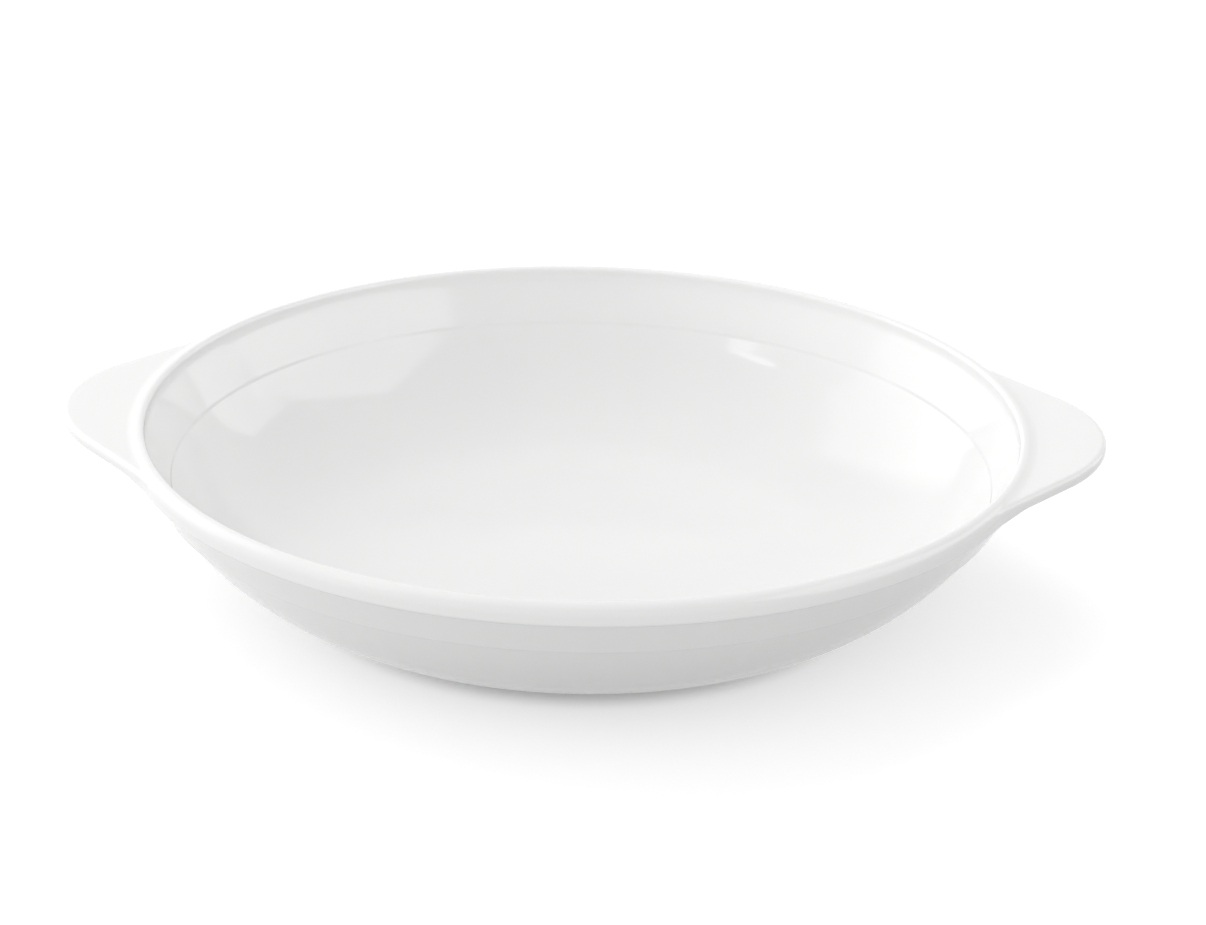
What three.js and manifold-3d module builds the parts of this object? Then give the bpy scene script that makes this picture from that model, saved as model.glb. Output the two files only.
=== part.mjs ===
// Round serving dish in glazed white porcelain, with two flat ears at the rim.
// Millimetres and degrees. +Z is up, the ears lie along X, and the dish stands on z = 0.

import * as THREE from 'three';
import { mergeVertices } from 'three/addons/utils/BufferGeometryUtils.js';
import Module from 'manifold-3d';

// Dish as a whole
const RIM_DIAMETER = 260;
const HEIGHT = 52;
const FLOOR = 4.5;

// Rounded lip, which overhangs the wall below it
const LIP_WIDTH = 4.6;
const LIP_HEIGHT = 6.3;
const LIP_OVERHANG = 1.5;
const LIP_INNER_RADIUS = 1.3;
const LIP_CREASE_RADIUS = 0.7;

// Flared band below the lip. It ends in a ledge on the outside and a short upright drop on the inside.
const BAND_HEIGHT = 10.7;
const BAND_FLARE = 30.5;
const BAND_WALL = 4.2;
const STEP_LEDGE = 0.6;
const STEP_DROP = 0.9;
const STEP_DROP_RISE = 1.6;
const STEP_RADIUS = 0.45;

// Bowl below the band: steep at the top, almost level where it meets the foot ring
const BOWL_FLARE = 34.7;
const BELLY_RADIUS = 76;
const BASE_SLOPE = 13;
const COVE_RADIUS = 60;

// Foot ring, with a recess inside it
const FOOT_DIAMETER = 145;
const FOOT_WIDTH = 4.5;
const FOOT_RISE = 1.3;
const FOOT_RECESS = 2.5;
const FOOT_EDGE = 0.6;

// Ears: a round tip, straight sides, and flares that run out along the rim
const EAR_REACH = 20;
const EAR_TIP_RADIUS = 46;
const EAR_ROOT_WIDTH = 108;
const EAR_FLARE_RADIUS = 60;
const EAR_THICKNESS = 4.3;
const EAR_EDGE_LAND = 0.4;
const EAR_DROP = 0.35;
const EAR_TILT = 0.6;

// Slip seam between an ear's scribed root and the outside of the dish
const LUTING_GAP = 0.3;

// Facets
const TURNS = 80;
const CHORD_ERROR = 0.08;
const OUTLINE_STEPS = 8;
const EDGE_STEPS = 4;
const MERGE_DISTANCE = 1e-4;

const GLAZE = { color: 0xf3f3f1, roughness: 0.12, metalness: 0 };

const { degToRad } = THREE.MathUtils;
const rimRadius = RIM_DIAMETER / 2;
const footRadius = FOOT_DIAMETER / 2;
const point = (x, y) => new THREE.Vector2(x, y);

const wasm = await Module();
wasm.setup();

function solid(geometry) {
  const bare = new THREE.BufferGeometry();
  bare.setAttribute('position', geometry.attributes.position.clone());
  bare.setIndex(geometry.index);
  const merged = mergeVertices(bare, MERGE_DISTANCE);
  const corners = merged.index.array;
  const kept = [];
  for (let i = 0; i < corners.length; i += 3) {
    const [a, b, c] = corners.slice(i, i + 3);
    if (a !== b && b !== c && c !== a) kept.push(a, b, c);
  }
  const vertProperties = new Float32Array(merged.attributes.position.array);
  return new wasm.Manifold(new wasm.Mesh({ numProp: 3, vertProperties, triVerts: new Uint32Array(kept) }));
}

function geometryOf(manifold) {
  const mesh = manifold.getMesh();
  const geometry = new THREE.BufferGeometry();
  geometry.setAttribute('position', new THREE.BufferAttribute(mesh.vertProperties, 3));
  geometry.setIndex(new THREE.BufferAttribute(mesh.triVerts, 1));
  geometry.computeVertexNormals();
  return geometry;
}

// Rounds the corners of an open outline. Two fillets that share a short edge both give way.
function filleted(corners) {
  const spots = corners.map(({ at }) => at);
  const edges = spots.slice(1).map((spot, i) => spot.clone().sub(spots[i]));
  const turns = edges.slice(1).map((edge, i) => Math.atan2(edges[i].cross(edge), edges[i].dot(edge)));
  const wanted = corners.map(({ radius }, i) => {
    return radius && turns[i - 1] ? radius * Math.tan(Math.abs(turns[i - 1]) / 2) : 0;
  });
  const room = edges.map((edge, i) => Math.min(1, edge.length() / (wanted[i] + wanted[i + 1] || 1)));
  const outline = [spots[0]];
  for (let i = 1; i < spots.length - 1; i += 1) {
    const tangent = wanted[i] * Math.min(room[i - 1], room[i]);
    if (tangent === 0) {
      outline.push(spots[i]);
      continue;
    }
    const turn = turns[i - 1];
    const radius = tangent / Math.tan(Math.abs(turn) / 2);
    const along = edges[i - 1].clone().normalize();
    const across = point(-along.y, along.x).multiplyScalar(Math.sign(turn));
    const start = spots[i].clone().addScaledVector(along, -tangent);
    const widest = 2 * Math.acos(Math.max(0, 1 - CHORD_ERROR / radius));
    const steps = Math.ceil(Math.abs(turn) / widest);
    for (let step = 0; step <= steps; step += 1) {
      const angle = (Math.abs(turn) * step) / steps;
      const spot = start.clone().addScaledVector(along, radius * Math.sin(angle));
      outline.push(spot.addScaledVector(across, radius * (1 - Math.cos(angle))));
    }
  }
  outline.push(spots.at(-1));
  return outline;
}

function revolved(outline) {
  return new THREE.LatheGeometry(outline, TURNS).rotateX(Math.PI / 2);
}

// Where two straight lines meet, each given by a spot and the tangent of its slope, as z over radius
function meeting(spotA, slopeA, spotB, slopeB) {
  const x = (spotB.y - spotA.y + slopeA * spotA.x - slopeB * spotB.x) / (slopeA - slopeB);
  return point(x, spotA.y + slopeA * (x - spotA.x));
}

// Section of the dish: the outside runs up from the foot ring, the inside back down to the floor
const bandSteepness = 1 / Math.tan(degToRad(BAND_FLARE));
const bowlSteepness = 1 / Math.tan(degToRad(BOWL_FLARE));
const baseSteepness = Math.tan(degToRad(BASE_SLOPE));

const lipUnderside = HEIGHT - LIP_HEIGHT;
const bandTop = point(rimRadius - LIP_OVERHANG, lipUnderside);
const bandBottom = point(bandTop.x - BAND_HEIGHT / bandSteepness, lipUnderside - BAND_HEIGHT);
const bowlTop = point(bandBottom.x - STEP_LEDGE, bandBottom.y);
const footTop = point(footRadius, FOOT_RISE);
const belly = meeting(bowlTop, bowlSteepness, footTop, baseSteepness);

const lipInside = rimRadius - LIP_WIDTH;
const crest = point(lipInside + LIP_INNER_RADIUS, HEIGHT);
const floorTop = FOOT_RECESS + FLOOR;
const footInside = footRadius - FOOT_WIDTH;

const insideBandBottom = bandBottom.x - BAND_WALL / Math.cos(degToRad(BAND_FLARE));
const onInnerBand = (x) => point(x, bandBottom.y + bandSteepness * (x - insideBandBottom));
const dropTop = point(insideBandBottom + STEP_DROP_RISE / bandSteepness, bandBottom.y + STEP_DROP_RISE);
const dropBottom = point(dropTop.x, dropTop.y - STEP_DROP);
const cove = point(dropBottom.x - (dropBottom.y - floorTop) / bowlSteepness, floorTop);

const outside = filleted([
  { at: point(0, FOOT_RECESS) },
  { at: point(footInside, FOOT_RECESS), radius: FOOT_RECESS / 2 },
  { at: point(footInside, 0), radius: FOOT_EDGE },
  { at: point(footRadius, 0), radius: FOOT_EDGE },
  { at: footTop, radius: FOOT_EDGE },
  { at: belly, radius: BELLY_RADIUS },
  { at: bowlTop, radius: STEP_RADIUS },
  { at: bandBottom, radius: STEP_RADIUS },
  { at: bandTop, radius: LIP_CREASE_RADIUS },
  { at: point(rimRadius, lipUnderside), radius: LIP_OVERHANG },
  { at: point(rimRadius, HEIGHT), radius: rimRadius - crest.x },
  { at: crest },
]);

const inside = filleted([
  { at: crest },
  { at: point(lipInside, HEIGHT), radius: LIP_INNER_RADIUS },
  { at: onInnerBand(lipInside), radius: LIP_WIDTH },
  { at: dropTop, radius: STEP_RADIUS },
  { at: dropBottom, radius: STEP_RADIUS },
  { at: cove, radius: COVE_RADIUS },
  { at: point(0, floorTop) },
]);

const dishGeometry = revolved([...outside, ...inside.slice(1)]);

// The outside of the dish with the slip seam added, as a plug that scribes the ears' roots
function plugGeometry() {
  const grown = outside.slice(1).map((spot, i) => {
    const before = outside[i];
    const after = outside[i + 2] ?? point(0, HEIGHT);
    const along = after.clone().sub(before).normalize();
    return point(spot.x + along.y * LUTING_GAP, spot.y - along.x * LUTING_GAP);
  });
  return revolved([point(0, -LUTING_GAP), ...grown, point(0, HEIGHT + LUTING_GAP)]);
}

// Plan of an ear: a round tip, sides tangent to it, and flares that run out just inside the rim.
// The root runs on into the wall, where the plug cuts it back.
function earOutline() {
  const tipCentre = point(rimRadius + EAR_REACH - EAR_TIP_RADIUS, 0);
  const root = point(Math.sqrt(rimRadius ** 2 - (EAR_ROOT_WIDTH / 2) ** 2), EAR_ROOT_WIDTH / 2);
  const toCentre = tipCentre.clone().sub(root);
  const lean = Math.asin(EAR_TIP_RADIUS / toCentre.length());
  const along = toCentre.normalize().rotateAround(point(0, 0), lean);
  const outward = point(-along.y, along.x);
  const side = outward.angle();

  const flareLine = root.clone().addScaledVector(outward, EAR_FLARE_RADIUS);
  const flareRun = flareLine.dot(along);
  const flareReach = (bandTop.x + EAR_FLARE_RADIUS) ** 2 - flareLine.lengthSq();
  const flare = flareLine.addScaledVector(along, Math.sqrt(flareRun ** 2 + flareReach) - flareRun);
  const flareEnd = flare.angle();

  const outline = new THREE.Path();
  outline.absarc(tipCentre.x, 0, EAR_TIP_RADIUS, -side, side, false);
  outline.absarc(flare.x, flare.y, EAR_FLARE_RADIUS, side + Math.PI, flareEnd + Math.PI, true);
  outline.absarc(0, 0, bandTop.x - LIP_WIDTH, flareEnd, -flareEnd, true);
  outline.absarc(flare.x, -flare.y, EAR_FLARE_RADIUS, Math.PI - flareEnd, Math.PI - side, true);
  const spots = outline.getPoints(OUTLINE_STEPS);
  return new THREE.Shape(spots.filter((spot, i) => spot.distanceTo(spots.at(i - 1)) > MERGE_DISTANCE));
}

function earGeometry() {
  const edge = (EAR_THICKNESS - EAR_EDGE_LAND) / 2;
  const plate = new THREE.ExtrudeGeometry(earOutline(), {
    depth: EAR_EDGE_LAND,
    curveSegments: OUTLINE_STEPS,
    bevelThickness: edge,
    bevelSize: edge,
    bevelOffset: -edge,
    bevelSegments: EDGE_STEPS,
  });
  plate.translate(-rimRadius, 0, edge - EAR_THICKNESS);
  plate.rotateY(-degToRad(EAR_TILT));
  plate.translate(rimRadius, 0, HEIGHT - EAR_DROP);
  return geometryOf(solid(plate).subtract(solid(plugGeometry())));
}

function piece(name, geometry) {
  const mesh = new THREE.Mesh(geometry, new THREE.MeshStandardMaterial(GLAZE));
  mesh.name = name;
  return mesh;
}

const dish = new THREE.Group();
dish.add(piece('dish_body', dishGeometry));

const scribedEar = earGeometry();
for (const [name, turn] of [['right_ear', 0], ['left_ear', Math.PI]]) {
  const side = new THREE.Group();
  side.rotation.z = turn;
  side.add(piece(name, scribedEar));
  dish.add(side);
}

export default dish;
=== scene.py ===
"""Eared serving dish in glazed white porcelain.

A dish turned in one piece, with a rolled lip, a stepped wall and a foot ring.
Two flat ears are luted to its rim.
Metres. +Z is up, the ears lie along X, and the dish stands on z = 0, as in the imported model.
"""

import math

import bpy
from bpy.props import FloatProperty, FloatVectorProperty, PointerProperty
from mathutils import Matrix, Vector


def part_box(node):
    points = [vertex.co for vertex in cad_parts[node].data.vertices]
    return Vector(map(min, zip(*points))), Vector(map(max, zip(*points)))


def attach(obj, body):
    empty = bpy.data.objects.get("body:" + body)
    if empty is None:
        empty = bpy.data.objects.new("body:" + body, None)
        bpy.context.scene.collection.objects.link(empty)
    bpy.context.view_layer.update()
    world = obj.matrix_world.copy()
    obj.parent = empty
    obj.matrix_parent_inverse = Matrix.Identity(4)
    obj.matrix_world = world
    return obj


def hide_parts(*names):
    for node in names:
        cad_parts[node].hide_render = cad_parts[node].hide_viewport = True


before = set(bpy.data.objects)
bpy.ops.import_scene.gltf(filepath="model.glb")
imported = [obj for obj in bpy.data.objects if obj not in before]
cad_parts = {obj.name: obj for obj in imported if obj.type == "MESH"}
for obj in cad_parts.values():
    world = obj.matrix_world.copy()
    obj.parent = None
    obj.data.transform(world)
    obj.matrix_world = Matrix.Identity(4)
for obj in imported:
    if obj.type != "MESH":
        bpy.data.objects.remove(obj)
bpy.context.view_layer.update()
dish_low, dish_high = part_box("dish_body")
ear_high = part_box("right_ear")[1]

bl_info = {
    "name": "Eared Serving Dish",
    "version": (1, 0, 0),
    "blender": (4, 5, 0),
    "location": "View3D > Sidebar > Serving Dish",
    "description": "Models a round porcelain serving dish with two ears",
    "category": "Object",
}

MM = 0.001

# Facets of the turned dish and of an ear
TURNS = 240
ARC_STEP = math.radians(7.5)
LARGE_ARC_STEP = math.radians(1.6)
LARGE_RADIUS = 20 * MM
LEAST_ARC_STEPS = 2
LINE_GUARD = 0.3 * MM
LINE_GUARD_SHARE = 0.25
FILLET_STEPS = 8
FLAT_STEPS = 3
EDGE_STEPS = 10
TIP_RIBS = 72
SIDE_RIBS = 10
FLARE_RIBS = 30
MERGE_DISTANCE = 0.001 * MM

# How far an ear's root fillets and its flares sink into the lip, so that no seam shows
ROOT_SINK = 0.02 * MM
FLARE_SINK = 0.15 * MM

# How far an ear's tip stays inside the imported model's box
BOX_GUARD = 0.005 * MM

# Places, in the list of the section's corners, of the creases that get painted shade: under the step and
# the lip
STEP_CREASE = 6
LIP_CREASE = 8

# Noise scales of the porcelain's unevenness
MOTTLE_SCALE = 28
WAVE_SCALE = 42
WEAR_SCALE = 90
PEEL_SCALE = 420
GRAIN_SCALE = 3200

# Noise levels, and heights on the foot ring, at which a finish sets in and is full
MOTTLE_RANGE = (0.35, 0.7)
WEAR_RANGE = (0.4, 0.75)
GLAZED_RANGE = (0.12 * MM, 0.3 * MM)

GLAZE_IOR = 1.5

# The floor is a disc a hair below the foot ring
FLOOR_RADIUS = 4
FLOOR_FACETS = 96
FLOOR_GAP = 0.05 * MM
FLOOR_ROUGHNESS = 0.9

# Upward part of a direction at which the room starts to darken, and at which it is darkest
OVERHEAD_RANGE = (0.3, 0.75)

SENSOR_WIDTH_MM = 36


def length(name, default, description):
    return FloatProperty(
        name=name, description=description, default=default, min=0, unit="LENGTH", precision=5
    )


def angle(name, degrees, description):
    return FloatProperty(
        name=name, description=description, default=math.radians(degrees), unit="ROTATION"
    )


def share(name, default, description):
    return FloatProperty(
        name=name, description=description, default=default, min=0, max=1, subtype="FACTOR"
    )


def colour(name, default, description):
    return FloatVectorProperty(
        name=name, description=description, default=default, size=3, min=0, max=1, subtype="COLOR"
    )


def level(name, default, description):
    return FloatProperty(name=name, description=description, default=default, min=0)


class DishSizes(bpy.types.PropertyGroup):
    """Sizes of the turned dish."""

    rim_diameter: length("Rim diameter", dish_high.x - dish_low.x, "Across the outside of the lip")
    height: length("Height", dish_high.z, "From the foot ring to the top of the lip")
    floor: length("Floor", 4.5 * MM, "Thickness of the floor inside the foot ring")

    lip_width: length("Lip width", 4.6 * MM, "Width of the rolled lip")
    lip_height: length("Lip height", 6.3 * MM, "Height of the rolled lip")
    lip_overhang: length("Lip overhang", 1.5 * MM, "How far the lip stands out from the wall")
    lip_top_radius: length("Lip top radius", 3.3 * MM, "Rounding of the lip's outer shoulder")
    lip_inner_radius: length("Lip inner radius", 1.3 * MM, "Rounding of the lip's inner edge")
    lip_under_radius: length("Lip under radius", 1.15 * MM, "Rounding below the lip")
    lip_crease_radius: length("Lip crease radius", 0.5 * MM, "Rounding where the lip meets the wall")

    band_height: length("Band height", 10.7 * MM, "Height of the flared band below the lip, on the outside")
    band_flare: angle("Band flare", 30.5, "Lean of the band from upright")
    band_wall: length("Band wall", 4.2 * MM, "Thickness of the band")
    step_ledge: length("Step ledge", 0.9 * MM, "Ledge below the band on the outside")
    step_drop: length("Step drop", 0.9 * MM, "Steep drop below the band on the inside")
    step_lean: angle("Step lean", 19, "Lean of the inner drop from upright")
    step_rise: length("Step rise", 1.6 * MM, "How far the inner drop's top lies above the outer ledge")
    step_radius: length("Step radius", 0.7 * MM, "Rounding of the outer step")
    drop_top_radius: length("Drop top radius", 2.2 * MM, "Rounding above the inner drop")
    drop_foot_radius: length("Drop foot radius", 0.8 * MM, "Rounding below the inner drop")

    bowl_flare: angle("Bowl flare", 34.7, "Lean of the bowl from upright, below the step")
    belly_radius: length("Belly radius", 76 * MM, "Rounding of the bowl on the outside")
    base_slope: angle("Base slope", 13, "Slope of the bowl where it meets the foot ring")
    cove_radius: length("Cove radius", 54 * MM, "Rounding of the bowl on the inside, below the step")
    ease_radius: length("Ease radius", 160 * MM, "Rounding where the cove eases into the floor")
    ease_slope: angle("Ease slope", 10, "Slope of the bowl's inside where the cove ends")
    floor_radius: length("Floor radius", 400 * MM, "Rounding at the edge of the flat floor")
    floor_slope: angle("Floor slope", 3, "Slope of the bowl's inside where the floor begins")

    foot_diameter: length("Foot diameter", 145 * MM, "Across the outside of the foot ring")
    foot_width: length("Foot width", 4.5 * MM, "Width of the foot ring")
    foot_rise: length("Foot rise", 1.3 * MM, "Height of the foot ring on the outside")
    foot_recess: length("Foot recess", 2.5 * MM, "Depth of the recess inside the foot ring")
    foot_edge: length("Foot edge", 0.6 * MM, "Rounding of the foot ring")


class EarSizes(bpy.types.PropertyGroup):
    """Sizes of the two ears."""

    reach: length("Reach", ear_high.x - dish_high.x - BOX_GUARD, "How far an ear stands out from the rim")
    tip_radius: length("Tip radius", 46 * MM, "Rounding of the tip, seen from above")
    root_width: length("Root width", 108 * MM, "Width of an ear where its sides meet the rim")
    flare_radius: length("Flare radius", 60 * MM, "Rounding of the flares that run out along the rim")
    thickness: length("Thickness", 4 * MM, "Thickness of an ear")
    edge_land: length("Edge land", 0.4 * MM, "Upright part of the edge between its two roundings")
    drop: length("Drop", 1 * MM, "How far an ear's face lies below the top of the lip, at the rim")
    tilt: angle("Tilt", 2.4, "How steeply an ear rises from the rim to its tip")
    root_blend: length("Root blend", 4 * MM, "How far past the rim an ear thins from lip depth to its own")
    upper_fillet: length("Upper fillet", 6 * MM, "Rounding where an ear's upper face meets the lip")
    lower_fillet: length("Lower fillet", 4 * MM, "Rounding where an ear's lower face meets the lip")


class GlazeLook(bpy.types.PropertyGroup):
    """Finish of the porcelain."""

    glaze: colour("Glaze", (0.86, 0.86, 0.855), "Colour of the glazed porcelain")
    # This darker colour serves both random mottled patches and painted shade in the creases under the step
    # and the lip
    thick_glaze_and_crease_shade: colour("Thick glaze", (0.835, 0.84, 0.838), "Colour where the glaze lies thick")
    bare_clay: colour("Bare clay", (0.80, 0.785, 0.755), "Colour of the unglazed face of the foot ring")
    glaze_roughness: share("Glaze roughness", 0.07, "Roughness of the glaze")
    clay_roughness: share("Clay roughness", 0.62, "Roughness of the unglazed face of the foot ring")
    # Width of the painted shade that darkens the glaze round each crease
    crease_shade_width: length("Pool width", 1.6 * MM, "How far the glaze pools out of a crease")
    mottle: share("Mottle", 0.45, "How far the glaze turns to its thick colour in patches")
    wear: level("Wear", 1.5, "How many times rougher the glaze is where it is worn")
    wave_depth: length("Wave depth", 0.05 * MM, "Depth of the waves in the glaze")
    peel_depth: length("Peel depth", 0.002 * MM, "Depth of the fine dimples in the glaze")
    grain_depth: length("Grain depth", 0.06 * MM, "Depth of the grain of the bare clay")


class StageLook(bpy.types.PropertyGroup):
    """Floor, light and camera."""

    floor_colour: colour("Floor colour", (0.6, 0.6, 0.6), "Colour of the floor")
    floor_lift: level("Floor lift", 0.55, "Light that the floor adds where it is seen")
    # The shade round the foot is a painted shadow: the floor is lifted less there, whatever the lamps do
    shade_lift: level("Shade lift", 0.2, "Light that the floor adds in the shade at the foot")
    shade_width: length("Shade width", 14 * MM, "Width of the shade on the floor round the foot")
    ambience: level("Ambience", 0.81, "Strength of the light from all round")
    falloff: share("Falloff", 0.12, "How much more light comes from the left, and less from the right")
    overhead: level("Overhead", 0.55, "Brightness of the room overhead in reflections. The horizon has 1")
    top_light: level("Top light", 2.5, "Brightness of the light above and behind. White paper has 1")
    left_light: level("Left light", 2.1, "Brightness of the low light on the left")
    front_light: level("Front light", 1.3, "Brightness of the low light in front")
    left_panel: level("Left panel", 0.95, "Brightness of the panel on the left. It shows in the right wall")
    right_panel: level("Right panel", 1.3, "Brightness of the panel that only shows in the left wall")
    rear_panel: level("Rear panel", 1, "Brightness of the panel that shows beside the right panel")
    low_panel: level("Low panel", 0.35, "Brightness of the low panel that shows in the band on the left")
    strip: level("Strip", 2.5, "Brightness of the strip that shows below the inner step")
    camera_azimuth: angle("Camera azimuth", 2.516, "Turn of the camera about the dish")
    camera_elevation: angle("Camera elevation", 22.77, "Height of the camera above the horizon")
    camera_roll: angle("Camera roll", 1.259, "Turn of the camera about its own line of sight")
    camera_distance: length("Camera distance", 1040 * MM, "From the camera to the rim")
    camera_aside: length("Camera aside", 5.78 * MM, "How far the camera stands right of the dish's middle")
    camera_below: length("Camera below", 13.63 * MM, "How far the sight line runs below the rim's middle")
    focal_length: FloatProperty(
        name="Focal length",
        description="On a 36 mm wide sensor",
        default=107.93,
        min=1,
        subtype="DISTANCE_CAMERA",
        unit="CAMERA",
    )


# Modelling by outline


def direction(bearing):
    """A step of length 1 at an angle from the first axis."""
    return Vector((math.cos(bearing), math.sin(bearing)))


def start_outline(name, x, z):
    """A new object in edit mode, with one vertex in the XZ plane, selected."""
    bpy.ops.object.select_all(action="DESELECT")
    bpy.ops.mesh.primitive_plane_add(size=MM)
    piece = bpy.context.object
    piece.name = name
    piece.data.name = name
    bpy.ops.object.mode_set(mode="EDIT")
    bpy.ops.mesh.select_mode(type="VERT")
    bpy.ops.mesh.merge(type="CENTER")
    bpy.ops.transform.translate(value=(x, 0, z))
    return piece


def draw_line(start, end):
    """A straight run with a short span at each end, which keeps the shading of the run flat."""
    run = end - start
    if run.length < MERGE_DISTANCE:
        return
    guard = min(LINE_GUARD / run.length, LINE_GUARD_SHARE)
    for part in (guard, 1 - 2 * guard, guard):
        span = run * part
        bpy.ops.mesh.extrude_region_move(TRANSFORM_OT_translate={"value": (span.x, 0, span.y)})


def draw_arc(start, heading, radius, turn):
    """An arc that leaves along the heading. A turn to the right is positive. Returns where it ends."""
    side = Vector((heading.y, -heading.x)) * math.copysign(radius, turn)
    centre = start + side
    step = LARGE_ARC_STEP if radius > LARGE_RADIUS else ARC_STEP
    bpy.ops.mesh.spin(
        steps=max(LEAST_ARC_STEPS, math.ceil(abs(turn) / step)),
        angle=-turn,
        center=(centre.x, 0, centre.y),
        axis=(0, 1, 0),
    )
    return centre + Matrix.Rotation(-turn, 2) @ -side


def draw_section(corners):
    """Draws from corner to corner, each given as (radius from the axis, height, rounding)."""
    spots = [Vector(corner[:2]) for corner in corners]
    here = spots[0]
    for before, at, after, corner in zip(spots, spots[1:], spots[2:], corners[1:]):
        rounding = corner[2]
        arriving = (at - before).normalized()
        leaving = (after - at).normalized()
        turn = arriving.angle_signed(leaving)
        setback = rounding * math.tan(abs(turn) / 2)
        draw_line(here, at - arriving * setback)
        here = at
        if rounding > 0:
            here = draw_arc(at - arriving * setback, arriving, rounding, turn)
    draw_line(here, spots[-1])


def where_lines_meet(spot_a, slope_a, spot_b, slope_b):
    """The meeting point of two lines, each given by a spot and its rise over its run."""
    x = (spot_b.y - spot_a.y + slope_a * spot_a.x - slope_b * spot_b.x) / (slope_a - slope_b)
    return Vector((x, spot_a.y + slope_a * (x - spot_a.x)))


def cove_corners(dish, top, floor_top):
    """Corners of the bowl's inside, from the step to the flat floor.

    Three roundings, each wider than the one above it, ease the bowl into the floor.
    """
    slopes = (math.pi / 2 - dish.bowl_flare, dish.ease_slope, dish.floor_slope, 0)
    radii = (dish.cove_radius, dish.ease_radius, dish.floor_radius)
    turns = [(above - below) / 2 for above, below in zip(slopes, slopes[1:])]
    halves = [radius * math.tan(turn) for radius, turn in zip(radii, turns)]
    spot = Vector((0, floor_top))
    corners = []
    reach = 0
    for slope, half, radius in reversed(list(zip(slopes[1:], halves, radii))):
        run = reach + half if corners else 0
        spot = spot + direction(slope) * run
        corners.insert(0, [spot.x, spot.y, radius])
        reach = half
    climb = (top.y - spot.y) / math.tan(slopes[0])
    shift = top.x - climb - spot.x
    return [(x + shift, z, radius) for x, z, radius in corners]


def dish_section(dish):
    """Corners of the dish's section: up the outside from the middle of the foot, and down the inside."""
    rim = dish.rim_diameter / 2
    foot = dish.foot_diameter / 2
    band_steepness = 1 / math.tan(dish.band_flare)
    bowl_steepness = 1 / math.tan(dish.bowl_flare)

    lip_underside = dish.height - dish.lip_height
    band_top = Vector((rim - dish.lip_overhang, lip_underside))
    band_bottom = band_top - Vector((dish.band_height / band_steepness, dish.band_height))
    bowl_top = band_bottom - Vector((dish.step_ledge, 0))
    foot_top = Vector((foot, dish.foot_rise))
    belly = where_lines_meet(bowl_top, bowl_steepness, foot_top, math.tan(dish.base_slope))
    foot_inside = foot - dish.foot_width

    lip_inside = rim - dish.lip_width
    inner_band_bottom = band_bottom - Vector((dish.band_wall / math.cos(dish.band_flare), 0))
    inner_band_top = inner_band_bottom.y + band_steepness * (lip_inside - inner_band_bottom.x)
    drop_top = inner_band_bottom + Vector((dish.step_rise / band_steepness, dish.step_rise))
    drop_bottom = drop_top - Vector((math.tan(dish.step_lean), 1)) * dish.step_drop
    floor_top = dish.foot_recess + dish.floor
    run_in = cove_corners(dish, drop_bottom, floor_top)

    return [
        (0, dish.foot_recess, 0),
        (foot_inside, dish.foot_recess, dish.foot_recess / 2),
        (foot_inside, 0, dish.foot_edge),
        (foot, 0, dish.foot_edge),
        (*foot_top, dish.foot_edge),
        (*belly, dish.belly_radius),
        (*bowl_top, dish.step_radius),
        (*band_bottom, dish.step_radius),
        (*band_top, dish.lip_crease_radius),
        (rim, lip_underside, dish.lip_under_radius),
        (rim, dish.height, dish.lip_top_radius),
        (lip_inside, dish.height, dish.lip_inner_radius),
        (lip_inside, inner_band_top, dish.lip_width),
        (*drop_top, dish.drop_top_radius),
        (*drop_bottom, dish.drop_foot_radius),
        *run_in,
        (0, floor_top, 0),
    ]


def finish_mesh():
    """Closes the seams of the mesh in edit mode, turns its faces outwards and smooths them."""
    bpy.ops.mesh.select_all(action="SELECT")
    bpy.ops.mesh.remove_doubles(threshold=MERGE_DISTANCE)
    bpy.ops.mesh.normals_make_consistent(inside=False)
    bpy.ops.object.mode_set(mode="OBJECT")
    bpy.ops.object.shade_smooth()


def place_piece(piece, node):
    """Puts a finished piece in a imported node's place."""
    piece.data.materials.clear()
    piece.data.materials.append(glazed_porcelain())
    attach(piece, "root")
    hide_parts(node)


# Ears


def ear_plan(ear, rim, run_out):
    """The edge of the right ear from flare to flare, seen from above, as (spot, outward) pairs.

    The flares are tangent to a circle of radius run_out, just inside the rim.
    """
    tip = Vector((rim + ear.reach - ear.tip_radius, 0))
    half_root = ear.root_width / 2
    root = Vector((math.sqrt(rim**2 - half_root**2), half_root))
    to_tip = tip - root
    lean = math.asin(ear.tip_radius / to_tip.length)
    along = Matrix.Rotation(lean, 2) @ to_tip.normalized()
    outward = Vector((-along.y, along.x))
    side = math.atan2(outward.y, outward.x)

    flare = root + outward * ear.flare_radius
    back = flare.dot(along)
    reach = (run_out + ear.flare_radius) ** 2 - flare.length_squared
    flare += along * (math.sqrt(back**2 + reach) - back)
    flare_end = math.atan2(flare.y, flare.x)

    half = []
    for step in range(TIP_RIBS // 2):
        facing = direction(side * 2 * step / TIP_RIBS)
        half.append((tip + facing * ear.tip_radius, facing))
    side_start = tip + outward * ear.tip_radius
    side_end = flare - outward * ear.flare_radius
    for step in range(SIDE_RIBS):
        half.append((side_start.lerp(side_end, step / SIDE_RIBS), outward))
    for step in range(FLARE_RIBS + 1):
        facing = direction(side + (flare_end - side) * step / FLARE_RIBS)
        half.append((flare - facing * ear.flare_radius, facing))

    mirror = Vector((1, -1))
    mirrored = [(spot * mirror, facing * mirror) for spot, facing in half[1:]]
    return [*reversed(mirrored), *half]


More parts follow.
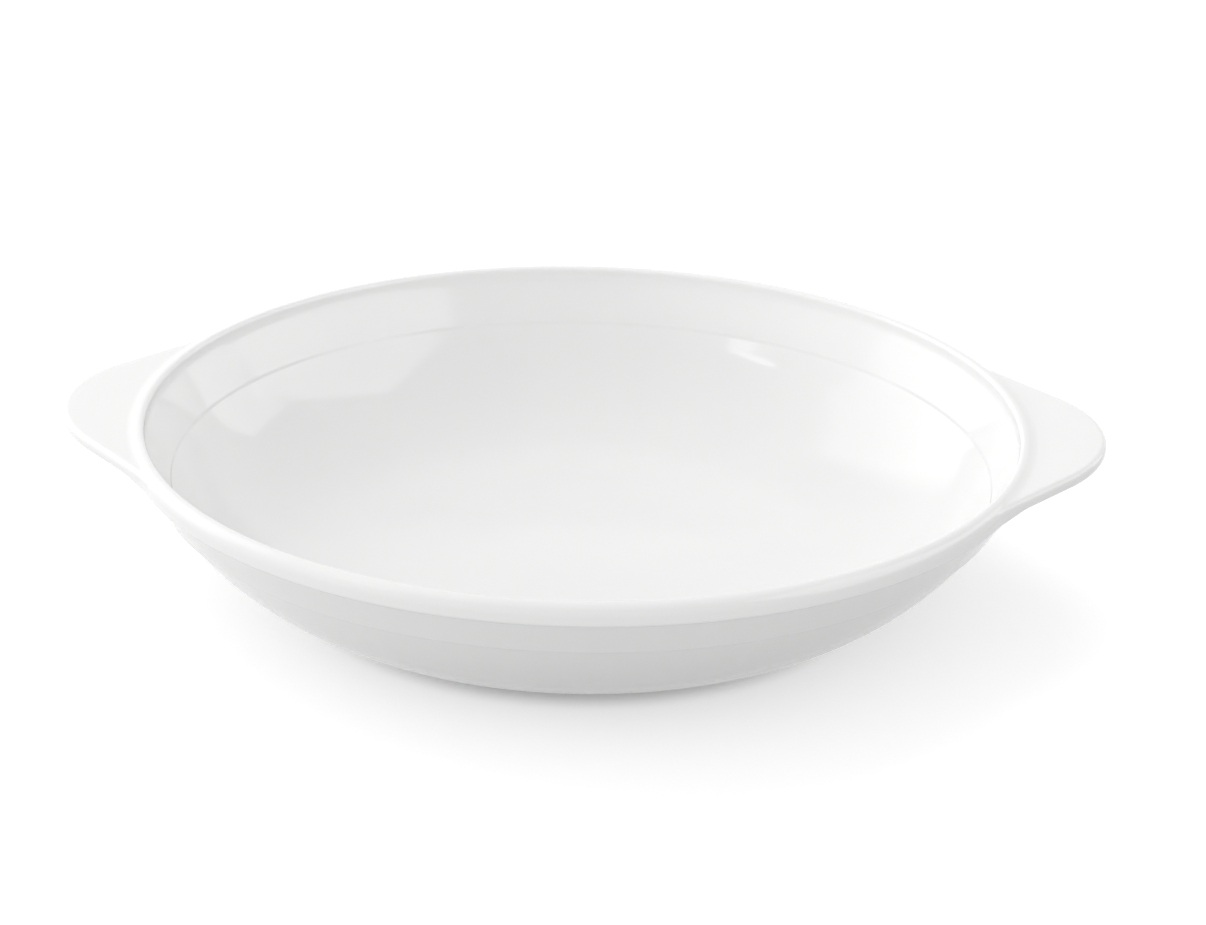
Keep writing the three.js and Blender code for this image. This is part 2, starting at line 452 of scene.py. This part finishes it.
def resting_ball(lip, lip_radius, edge, edge_radius, ball, side):
    """Centre of the ball that rests on the lip and on an ear, above it (side 1) or below it (side -1).

    The lip and the ear's edge are circles in a section through the axis. The ball rests on the
    ear's flat face where there is room for it, and otherwise on the round edge. Returns None where
    the edge lies inside the lip.
    """
    face = edge.y + side * edge_radius
    lift = side * (face - lip.y) + ball
    spread = (lip_radius + ball) ** 2 - lift**2
    if spread > 0 and lip.x + math.sqrt(spread) <= edge.x:
        return Vector((lip.x + math.sqrt(spread), face + side * ball))
    gap = edge - lip
    near = ((lip_radius + ball) ** 2 - (edge_radius + ball) ** 2 + gap.length_squared) / (2 * gap.length)
    rise = (lip_radius + ball) ** 2 - near**2
    if rise < 0:
        return None
    along = gap.normalized()
    return lip + along * near + Vector((-along.y, along.x)) * side * math.sqrt(rise)


def sweep(centre, radius, start, end, steps):
    """Points on an arc from one direction to another."""
    first = math.atan2(start.y, start.x)
    turn = math.remainder(math.atan2(end.y, end.x) - first, math.tau)
    bearings = [first + turn * step / steps for step in range(steps + 1)]
    return [centre + direction(bearing) * radius for bearing in bearings]


def ear_rib_half(lip, lip_radius, edge, edge_radius, ball, side):
    """Half of a rib, as (distance from the axis, height): fillet, flat face and round edge."""
    centre = resting_ball(lip, lip_radius, edge, edge_radius, ball, side)
    if centre is None:
        facing = (edge - lip).normalized()
        fillet = [edge + facing * edge_radius] * (FILLET_STEPS + 1)
    else:
        facing = Vector((0, side)) if centre.x < edge.x else centre - edge
        fillet = sweep(centre, ball, lip - centre, -facing, FILLET_STEPS)
    rounded = sweep(edge, edge_radius, facing, Vector((1, 0)), EDGE_STEPS)
    flat = [fillet[-1].lerp(rounded[0], step / FLAT_STEPS) for step in range(1, FLAT_STEPS)]
    return [*fillet, *flat, *rounded]


def ease(value):
    """Runs smoothly from 0 to 1, level at both ends, and stays there."""
    value = min(1, max(0, value))
    return value * value * (3 - 2 * value)


def ear_ribs(dish, ear):
    """Ribs of the right ear from flare to flare: over the ear, round its edge and back below it.

    Each starts and ends at one point inside the lip. Where the flares run out, an ear reaches down
    as far as the lip. Past the rim it rises towards its tip.
    """
    rim = dish.rim_diameter / 2
    edge_radius = (ear.thickness - ear.edge_land) / 2
    face = dish.height - ear.drop
    root_depth = dish.lip_height - ear.drop
    upper_lip = Vector((rim - dish.lip_top_radius, dish.height - dish.lip_top_radius))
    lower_lip = Vector((rim, dish.height - dish.lip_height)) + Vector((-1, 1)) * dish.lip_under_radius
    hidden = Vector((upper_lip.x, face - ear.thickness / 2))

    ribs = []
    for spot, facing in ear_plan(ear, rim, rim - FLARE_SINK):
        inset = spot - facing * edge_radius
        radial = inset.normalized()
        thinned = ease((spot.length - rim) / ear.root_blend)
        depth = root_depth + (ear.thickness - root_depth) * thinned
        upper_edge = Vector((inset.length, face - edge_radius))
        lower_edge = Vector((inset.length, face - depth + edge_radius))
        upper = ear_rib_half(
            upper_lip, dish.lip_top_radius - ROOT_SINK, upper_edge, edge_radius, ear.upper_fillet, 1
        )
        lower = ear_rib_half(
            lower_lip, dish.lip_under_radius - ROOT_SINK, lower_edge, edge_radius, ear.lower_fillet, -1
        )
        rib = []
        for point in [hidden, *upper, *reversed(lower), hidden]:
            past = max(0, point.x - inset.length)
            plan = radial * (point.x - past) + facing * past
            rise = math.tan(ear.tilt) * max(0, point.x - rim)
            rib.append(Vector((plan.x, plan.y, point.y + rise)))
        ribs.append(rib)
    return ribs


# Materials


def add_node(tree, kind, **settings):
    node = tree.nodes.new(kind)
    for name, value in settings.items():
        setattr(node, name, value)
    return node


def feed(tree, socket, value):
    """Links an input to another node's output, or sets it."""
    if isinstance(value, bpy.types.NodeSocket):
        tree.links.new(value, socket)
    else:
        socket.default_value = value


def math_node(tree, operation, *values):
    node = add_node(tree, "ShaderNodeMath", operation=operation)
    for socket, value in zip(node.inputs, values):
        feed(tree, socket, value)
    return node.outputs[0]


def diagonal(tree, first, second):
    """The length of a step that has these two parts at right angles."""
    squares = [math_node(tree, "POWER", part, 2) for part in (first, second)]
    return math_node(tree, "SQRT", math_node(tree, "ADD", *squares))


def map_range(tree, value, low, high, to_low, to_high):
    node = add_node(tree, "ShaderNodeMapRange", interpolation_type="SMOOTHSTEP")
    for name, given in (
        ("Value", value),
        ("From Min", low),
        ("From Max", high),
        ("To Min", to_low),
        ("To Max", to_high),
    ):
        feed(tree, node.inputs[name], given)
    return node.outputs["Result"]


def noise(tree, place, scale, detail):
    node = add_node(tree, "ShaderNodeTexNoise")
    feed(tree, node.inputs["Vector"], place)
    node.inputs["Scale"].default_value = scale
    node.inputs["Detail"].default_value = detail
    return node.outputs["Fac"]


def mix_colour(tree, factor, first, second):
    node = add_node(tree, "ShaderNodeMix", data_type="RGBA")
    feed(tree, node.inputs["Factor"], factor)
    feed(tree, node.inputs["A"], first)
    feed(tree, node.inputs["B"], second)
    return node.outputs["Result"]


def bump(tree, height, distance, normal=None):
    node = add_node(tree, "ShaderNodeBump")
    feed(tree, node.inputs["Height"], height)
    node.inputs["Distance"].default_value = distance
    if normal is not None:
        tree.links.new(normal, node.inputs["Normal"])
    return node.outputs["Normal"]


def opaque(rgb):
    return (*rgb, 1)


def glazed_porcelain():
    """White porcelain under a clear glaze, with painted shade darkening the glaze in the creases. The foot
    ring stands on bare clay.
    """
    made = bpy.data.materials.get("glazed porcelain")
    if made is not None:
        return made
    dish = bpy.context.scene.serving_dish
    look = bpy.context.scene.serving_dish_glaze
    material = bpy.data.materials.new("glazed porcelain")
    material.use_nodes = True
    tree = material.node_tree
    shader = tree.nodes["Principled BSDF"]
    place = add_node(tree, "ShaderNodeTexCoord").outputs["Object"]
    parts = add_node(tree, "ShaderNodeSeparateXYZ")
    tree.links.new(place, parts.inputs[0])
    height = parts.outputs["Z"]
    from_axis = diagonal(tree, parts.outputs["X"], parts.outputs["Y"])

    corners = dish_section(dish)
    # Painted shade: the glaze darkens towards the creases under the step and under the lip
    pools = []
    for crease_out, crease_up, _ in (corners[STEP_CREASE], corners[LIP_CREASE]):
        out = math_node(tree, "SUBTRACT", from_axis, crease_out)
        up = math_node(tree, "SUBTRACT", height, crease_up)
        pools.append(map_range(tree, diagonal(tree, out, up), 0, look.crease_shade_width, 1, 0))
    painted_crease_shade = math_node(tree, "MAXIMUM", *pools)

    patches = noise(tree, place, MOTTLE_SCALE, detail=2)
    mottle = map_range(tree, patches, *MOTTLE_RANGE, 0, look.mottle)
    # Random mottle, together with the painted shade in the creases
    thick = math_node(tree, "MAXIMUM", mottle, painted_crease_shade)
    glaze = mix_colour(tree, thick, opaque(look.glaze), opaque(look.thick_glaze_and_crease_shade))

    bare = map_range(tree, height, *GLAZED_RANGE, 1, 0)
    base_colour = mix_colour(tree, bare, glaze, opaque(look.bare_clay))
    tree.links.new(base_colour, shader.inputs["Base Color"])

    scuffs = noise(tree, place, WEAR_SCALE, detail=3)
    worn = map_range(tree, scuffs, *WEAR_RANGE, look.glaze_roughness, look.glaze_roughness * look.wear)
    clay = math_node(tree, "MULTIPLY", bare, look.clay_roughness)
    tree.links.new(math_node(tree, "MAXIMUM", worn, clay), shader.inputs["Roughness"])

    waves = bump(tree, noise(tree, place, WAVE_SCALE, detail=1), look.wave_depth)
    peel = bump(tree, noise(tree, place, PEEL_SCALE, detail=1), look.peel_depth, waves)
    grain = math_node(tree, "MULTIPLY", bare, noise(tree, place, GRAIN_SCALE, detail=2))
    tree.links.new(bump(tree, grain, look.grain_depth, peel), shader.inputs["Normal"])
    shader.inputs["IOR"].default_value = GLAZE_IOR
    return material


# Stage


def seen_directly(tree):
    """1 for what the camera, a reflection or a refraction sees, and 0 for what lights the scene."""
    path = add_node(tree, "ShaderNodeLightPath").outputs
    seen = math_node(tree, "MAXIMUM", path["Is Camera Ray"], path["Is Glossy Ray"])
    return math_node(tree, "MAXIMUM", seen, path["Is Transmission Ray"])


def floor_material(look, dish):
    """A pale floor, lifted to white where the camera or a reflection sees it, with a painted shadow round
    the foot, where it is lifted less.

    From below it is clear, and so is the part under the foot ring, so the dish shows from underneath.
    """
    material = bpy.data.materials.new("pale floor")
    material.use_nodes = True
    tree = material.node_tree
    shader = tree.nodes["Principled BSDF"]
    shader.inputs["Base Color"].default_value = opaque(look.floor_colour)
    shader.inputs["Roughness"].default_value = FLOOR_ROUGHNESS
    shader.inputs["Specular IOR Level"].default_value = 0
    shader.inputs["Emission Color"].default_value = (1, 1, 1, 1)

    foot = dish.foot_diameter / 2
    middle = add_node(tree, "ShaderNodeVectorMath", operation="LENGTH")
    tree.links.new(add_node(tree, "ShaderNodeTexCoord").outputs["Object"], middle.inputs[0])
    from_axis = middle.outputs["Value"]
    # Painted shadow: the lift falls off towards the foot ring by distance alone
    lift = map_range(tree, from_axis, foot, foot + look.shade_width, look.shade_lift, look.floor_lift)
    glow = math_node(tree, "MULTIPLY", seen_directly(tree), lift)
    tree.links.new(glow, shader.inputs["Emission Strength"])

    inside_foot = math_node(tree, "LESS_THAN", from_axis, foot - dish.foot_edge)
    backfacing = add_node(tree, "ShaderNodeNewGeometry").outputs["Backfacing"]
    sides = add_node(tree, "ShaderNodeMixShader")
    tree.links.new(math_node(tree, "MAXIMUM", backfacing, inside_foot), sides.inputs["Fac"])
    tree.links.new(shader.outputs[0], sides.inputs[1])
    tree.links.new(add_node(tree, "ShaderNodeBsdfTransparent").outputs[0], sides.inputs[2])
    tree.links.new(sides.outputs[0], tree.nodes["Material Output"].inputs["Surface"])
    return material


def light_world(look):
    """A white room, which lights the dish more from the left. In reflections it darkens overhead."""
    world = bpy.data.worlds.new("studio")
    bpy.context.scene.world = world
    world.use_nodes = True
    tree = world.node_tree
    background = tree.nodes["Background"]
    background.inputs["Color"].default_value = (1, 1, 1, 1)
    parts = add_node(tree, "ShaderNodeSeparateXYZ")
    tree.links.new(add_node(tree, "ShaderNodeTexCoord").outputs["Generated"], parts.inputs[0])
    room = map_range(tree, parts.outputs["Z"], *OVERHEAD_RANGE, 1, look.overhead)
    from_left = look.ambience * (1 + look.falloff)
    from_right = look.ambience * (1 - look.falloff)
    lit = map_range(tree, parts.outputs["X"], -1, 1, from_left, from_right)
    path = add_node(tree, "ShaderNodeLightPath").outputs
    seen = map_range(tree, seen_directly(tree), 0, 1, lit, 1)
    strength = map_range(tree, path["Is Glossy Ray"], 0, 1, seen, room)
    tree.links.new(strength, background.inputs["Strength"])


def fade_edges(lamp, share_faded):
    """Fades a lamp out towards its edges, over a share of its width and of its height."""
    lamp.use_nodes = True
    tree = lamp.node_tree
    parts = add_node(tree, "ShaderNodeSeparateXYZ")
    tree.links.new(add_node(tree, "ShaderNodeNewGeometry").outputs["Parametric"], parts.inputs[0])
    half = 0.5
    fades = []
    for axis in "XY":
        off_centre = math_node(tree, "SUBTRACT", parts.outputs[axis], half)
        aside = math_node(tree, "ABSOLUTE", off_centre)
        fades.append(map_range(tree, aside, half - share_faded, half, 1, 0))
    tree.links.new(math_node(tree, "MULTIPLY", *fades), tree.nodes["Emission"].inputs["Strength"])


def add_panel(name, brightness, width, height, place, aim, roll=0, fade=0, lights=True, shows=True):
    """A softbox that faces a spot, rolled about its own axis.

    It lights the dish, shows in the glaze, or both. Brightness 1 is that of white paper.
    """
    away = (Vector(place) - Vector(aim)).normalized()
    turn = away.to_track_quat("Z", "Y").to_matrix() @ Matrix.Rotation(math.radians(roll), 3, "Z")
    bpy.ops.object.light_add(type="AREA", location=place, rotation=turn.to_euler())
    lamp = bpy.context.object
    lamp.name = name
    lamp.data.shape = "RECTANGLE"
    lamp.data.size = width
    lamp.data.size_y = height
    lamp.data.energy = math.pi * width * height * brightness
    if fade > 0:
        fade_edges(lamp.data, fade)
    lamp.visible_diffuse = lights
    lamp.visible_glossy = shows


def lay_floor(look, dish):
    bpy.ops.object.select_all(action="DESELECT")
    bpy.ops.mesh.primitive_circle_add(
        vertices=FLOOR_FACETS, radius=FLOOR_RADIUS, fill_type="NGON", location=(0, 0, -FLOOR_GAP)
    )
    floor = bpy.context.object
    floor.name = "floor"
    bpy.ops.object.transform_apply()
    floor.data.materials.append(floor_material(look, dish))


def set_lamps(look):
    """Three lamps that only light, a panel that also shows in the glaze, and four that only show."""
    add_panel(
        "top light",
        look.top_light,
        width=0.8,
        height=0.5,
        place=(0, 0.592, 1.269),
        aim=(0, 0, 0.04),
        shows=False,
    )
    add_panel(
        "left light",
        look.left_light,
        width=0.8,
        height=0.5,
        place=(-1.37, 0, 0.291),
        aim=(0, 0, 0.04),
        shows=False,
    )
    add_panel(
        "front light",
        look.front_light,
        width=1.2,
        height=0.5,
        place=(0, -1.4, 0.3),
        aim=(0, 0, 0.05),
        shows=False,
    )
    add_panel(
        "left panel",
        look.left_panel,
        width=1.6,
        height=1.7,
        place=(-1.112, 0.541, 0.78),
        aim=(-0.193, -0.23, 0.78),
        fade=0.2,
    )
    add_panel(
        "right panel",
        look.right_panel,
        width=1.6,
        height=1.56,
        place=(1.2, -0.222, 0.975),
        aim=(0, -0.222, 0.975),
        roll=20,
        fade=0.07,
        lights=False,
    )
    add_panel(
        "rear panel",
        look.rear_panel,
        width=0.62,
        height=1,
        place=(1.2, 0.95, 0.5),
        aim=(0, 0.95, 0.5),
        fade=0.05,
        lights=False,
    )
    add_panel(
        "low panel",
        look.low_panel,
        width=1.2,
        height=0.48,
        place=(1.2, 1.85, 0.24),
        aim=(0, 0, 0.24),
        fade=0.3,
        lights=False,
    )
    add_panel(
        "strip",
        look.strip,
        width=0.4,
        height=0.09,
        place=(-0.87, -0.49, 1.08),
        aim=(0.05, 0.1, 0.035),
        fade=0.15,
        lights=False,
    )


def aim_camera(look, rim_height):
    """Sets up the camera, whose line of sight runs a little past the middle of the rim."""
    turn = (
        Matrix.Rotation(look.camera_azimuth, 3, "Z")
        @ Matrix.Rotation(math.pi / 2 - look.camera_elevation, 3, "X")
        @ Matrix.Rotation(look.camera_roll, 3, "Z")
    )
    offset = Vector((look.camera_aside, -look.camera_below, look.camera_distance))
    eye = Vector((0, 0, rim_height)) + turn @ offset
    bpy.ops.object.camera_add(location=eye, rotation=turn.to_euler())
    camera = bpy.context.object
    camera.name = "camera"
    camera.data.lens = look.focal_length
    camera.data.sensor_fit = "HORIZONTAL"
    camera.data.sensor_width = SENSOR_WIDTH_MM
    bpy.context.scene.camera = camera


# Operators


class SERVING_DISH_OT_body(bpy.types.Operator):
    """Turns the dish from its section: foot ring, bowl, step, band and rolled lip"""

    bl_idname = "serving_dish.body"
    bl_label = "Dish Body"

    def execute(self, context):
        section = dish_section(context.scene.serving_dish)
        body = start_outline("porcelain_dish_body", *section[0][:2])
        draw_section(section)
        bpy.ops.mesh.select_all(action="SELECT")
        bpy.ops.mesh.spin(steps=TURNS, angle=math.tau, center=(0, 0, 0), axis=(0, 0, 1))
        finish_mesh()
        place_piece(body, "dish_body")
        return {"FINISHED"}


class SERVING_DISH_OT_ears(bpy.types.Operator):
    """Models the right ear over its ribs, and copies it to the left"""

    bl_idname = "serving_dish.ears"
    bl_label = "Ears"

    def execute(self, context):
        dish = context.scene.serving_dish
        ear = context.scene.serving_dish_ears
        ribs = ear_ribs(dish, ear)
        points = [point for along in zip(*ribs) for point in along]

        bpy.ops.object.select_all(action="DESELECT")
        bpy.ops.mesh.primitive_grid_add(x_subdivisions=len(ribs) - 1, y_subdivisions=len(ribs[0]) - 1)
        right = context.object
        right.name = "porcelain_right_ear"
        right.data.name = right.name
        for vertex, point in zip(right.data.vertices, points, strict=True):
            vertex.co = point
        bpy.ops.object.mode_set(mode="EDIT")
        bpy.ops.mesh.select_all(action="SELECT")
        bpy.ops.mesh.remove_doubles(threshold=MERGE_DISTANCE)
        bpy.ops.mesh.fill_holes(sides=0)
        finish_mesh()

        bpy.ops.object.duplicate()
        left = context.object
        left.name = "porcelain_left_ear"
        left.data.name = left.name
        bpy.ops.transform.rotate(value=math.pi, orient_axis="Z", center_override=(0, 0, 0))
        bpy.ops.object.transform_apply()

        place_piece(right, "right_ear")
        place_piece(left, "left_ear")
        return {"FINISHED"}


class SERVING_DISH_OT_stage(bpy.types.Operator):
    """Lays the floor, sets the lamps and aims the camera"""

    bl_idname = "serving_dish.stage"
    bl_label = "Stage"

    def execute(self, context):
        scene = context.scene
        dish = scene.serving_dish
        look = scene.serving_dish_stage
        lay_floor(look, dish)
        light_world(look)
        set_lamps(look)
        aim_camera(look, dish.height)
        scene.view_settings.view_transform = "Standard"
        return {"FINISHED"}


class SERVING_DISH_PT_sidebar(bpy.types.Panel):
    """Lists the sizes, the finish and the steps of the dish"""

    bl_idname = "SERVING_DISH_PT_sidebar"
    bl_label = "Serving Dish"
    bl_space_type = "VIEW_3D"
    bl_region_type = "UI"
    bl_category = "Serving Dish"

    def draw(self, context):
        for group, operator in STEPS:
            box = self.layout.box()
            settings = getattr(context.scene, group)
            for name in settings.__annotations__:
                box.prop(settings, name)
            if operator is not None:
                box.operator(operator.bl_idname)


STEPS = (
    ("serving_dish_glaze", None),
    ("serving_dish", SERVING_DISH_OT_body),
    ("serving_dish_ears", SERVING_DISH_OT_ears),
    ("serving_dish_stage", SERVING_DISH_OT_stage),
)
GROUPS = {
    "serving_dish": DishSizes,
    "serving_dish_ears": EarSizes,
    "serving_dish_glaze": GlazeLook,
    "serving_dish_stage": StageLook,
}
OPERATORS = (SERVING_DISH_OT_body, SERVING_DISH_OT_ears, SERVING_DISH_OT_stage)


def register():
    for name, group in GROUPS.items():
        bpy.utils.register_class(group)
        setattr(bpy.types.Scene, name, PointerProperty(type=group))
    for operator in OPERATORS:
        bpy.utils.register_class(operator)
    bpy.utils.register_class(SERVING_DISH_PT_sidebar)


def unregister():
    bpy.utils.unregister_class(SERVING_DISH_PT_sidebar)
    for operator in OPERATORS:
        bpy.utils.unregister_class(operator)
    for name, group in GROUPS.items():
        delattr(bpy.types.Scene, name)
        bpy.utils.unregister_class(group)


def main():
    register()
    bpy.ops.serving_dish.body()
    bpy.ops.serving_dish.ears()
    bpy.ops.serving_dish.stage()


if __name__ == "__main__":
    main()
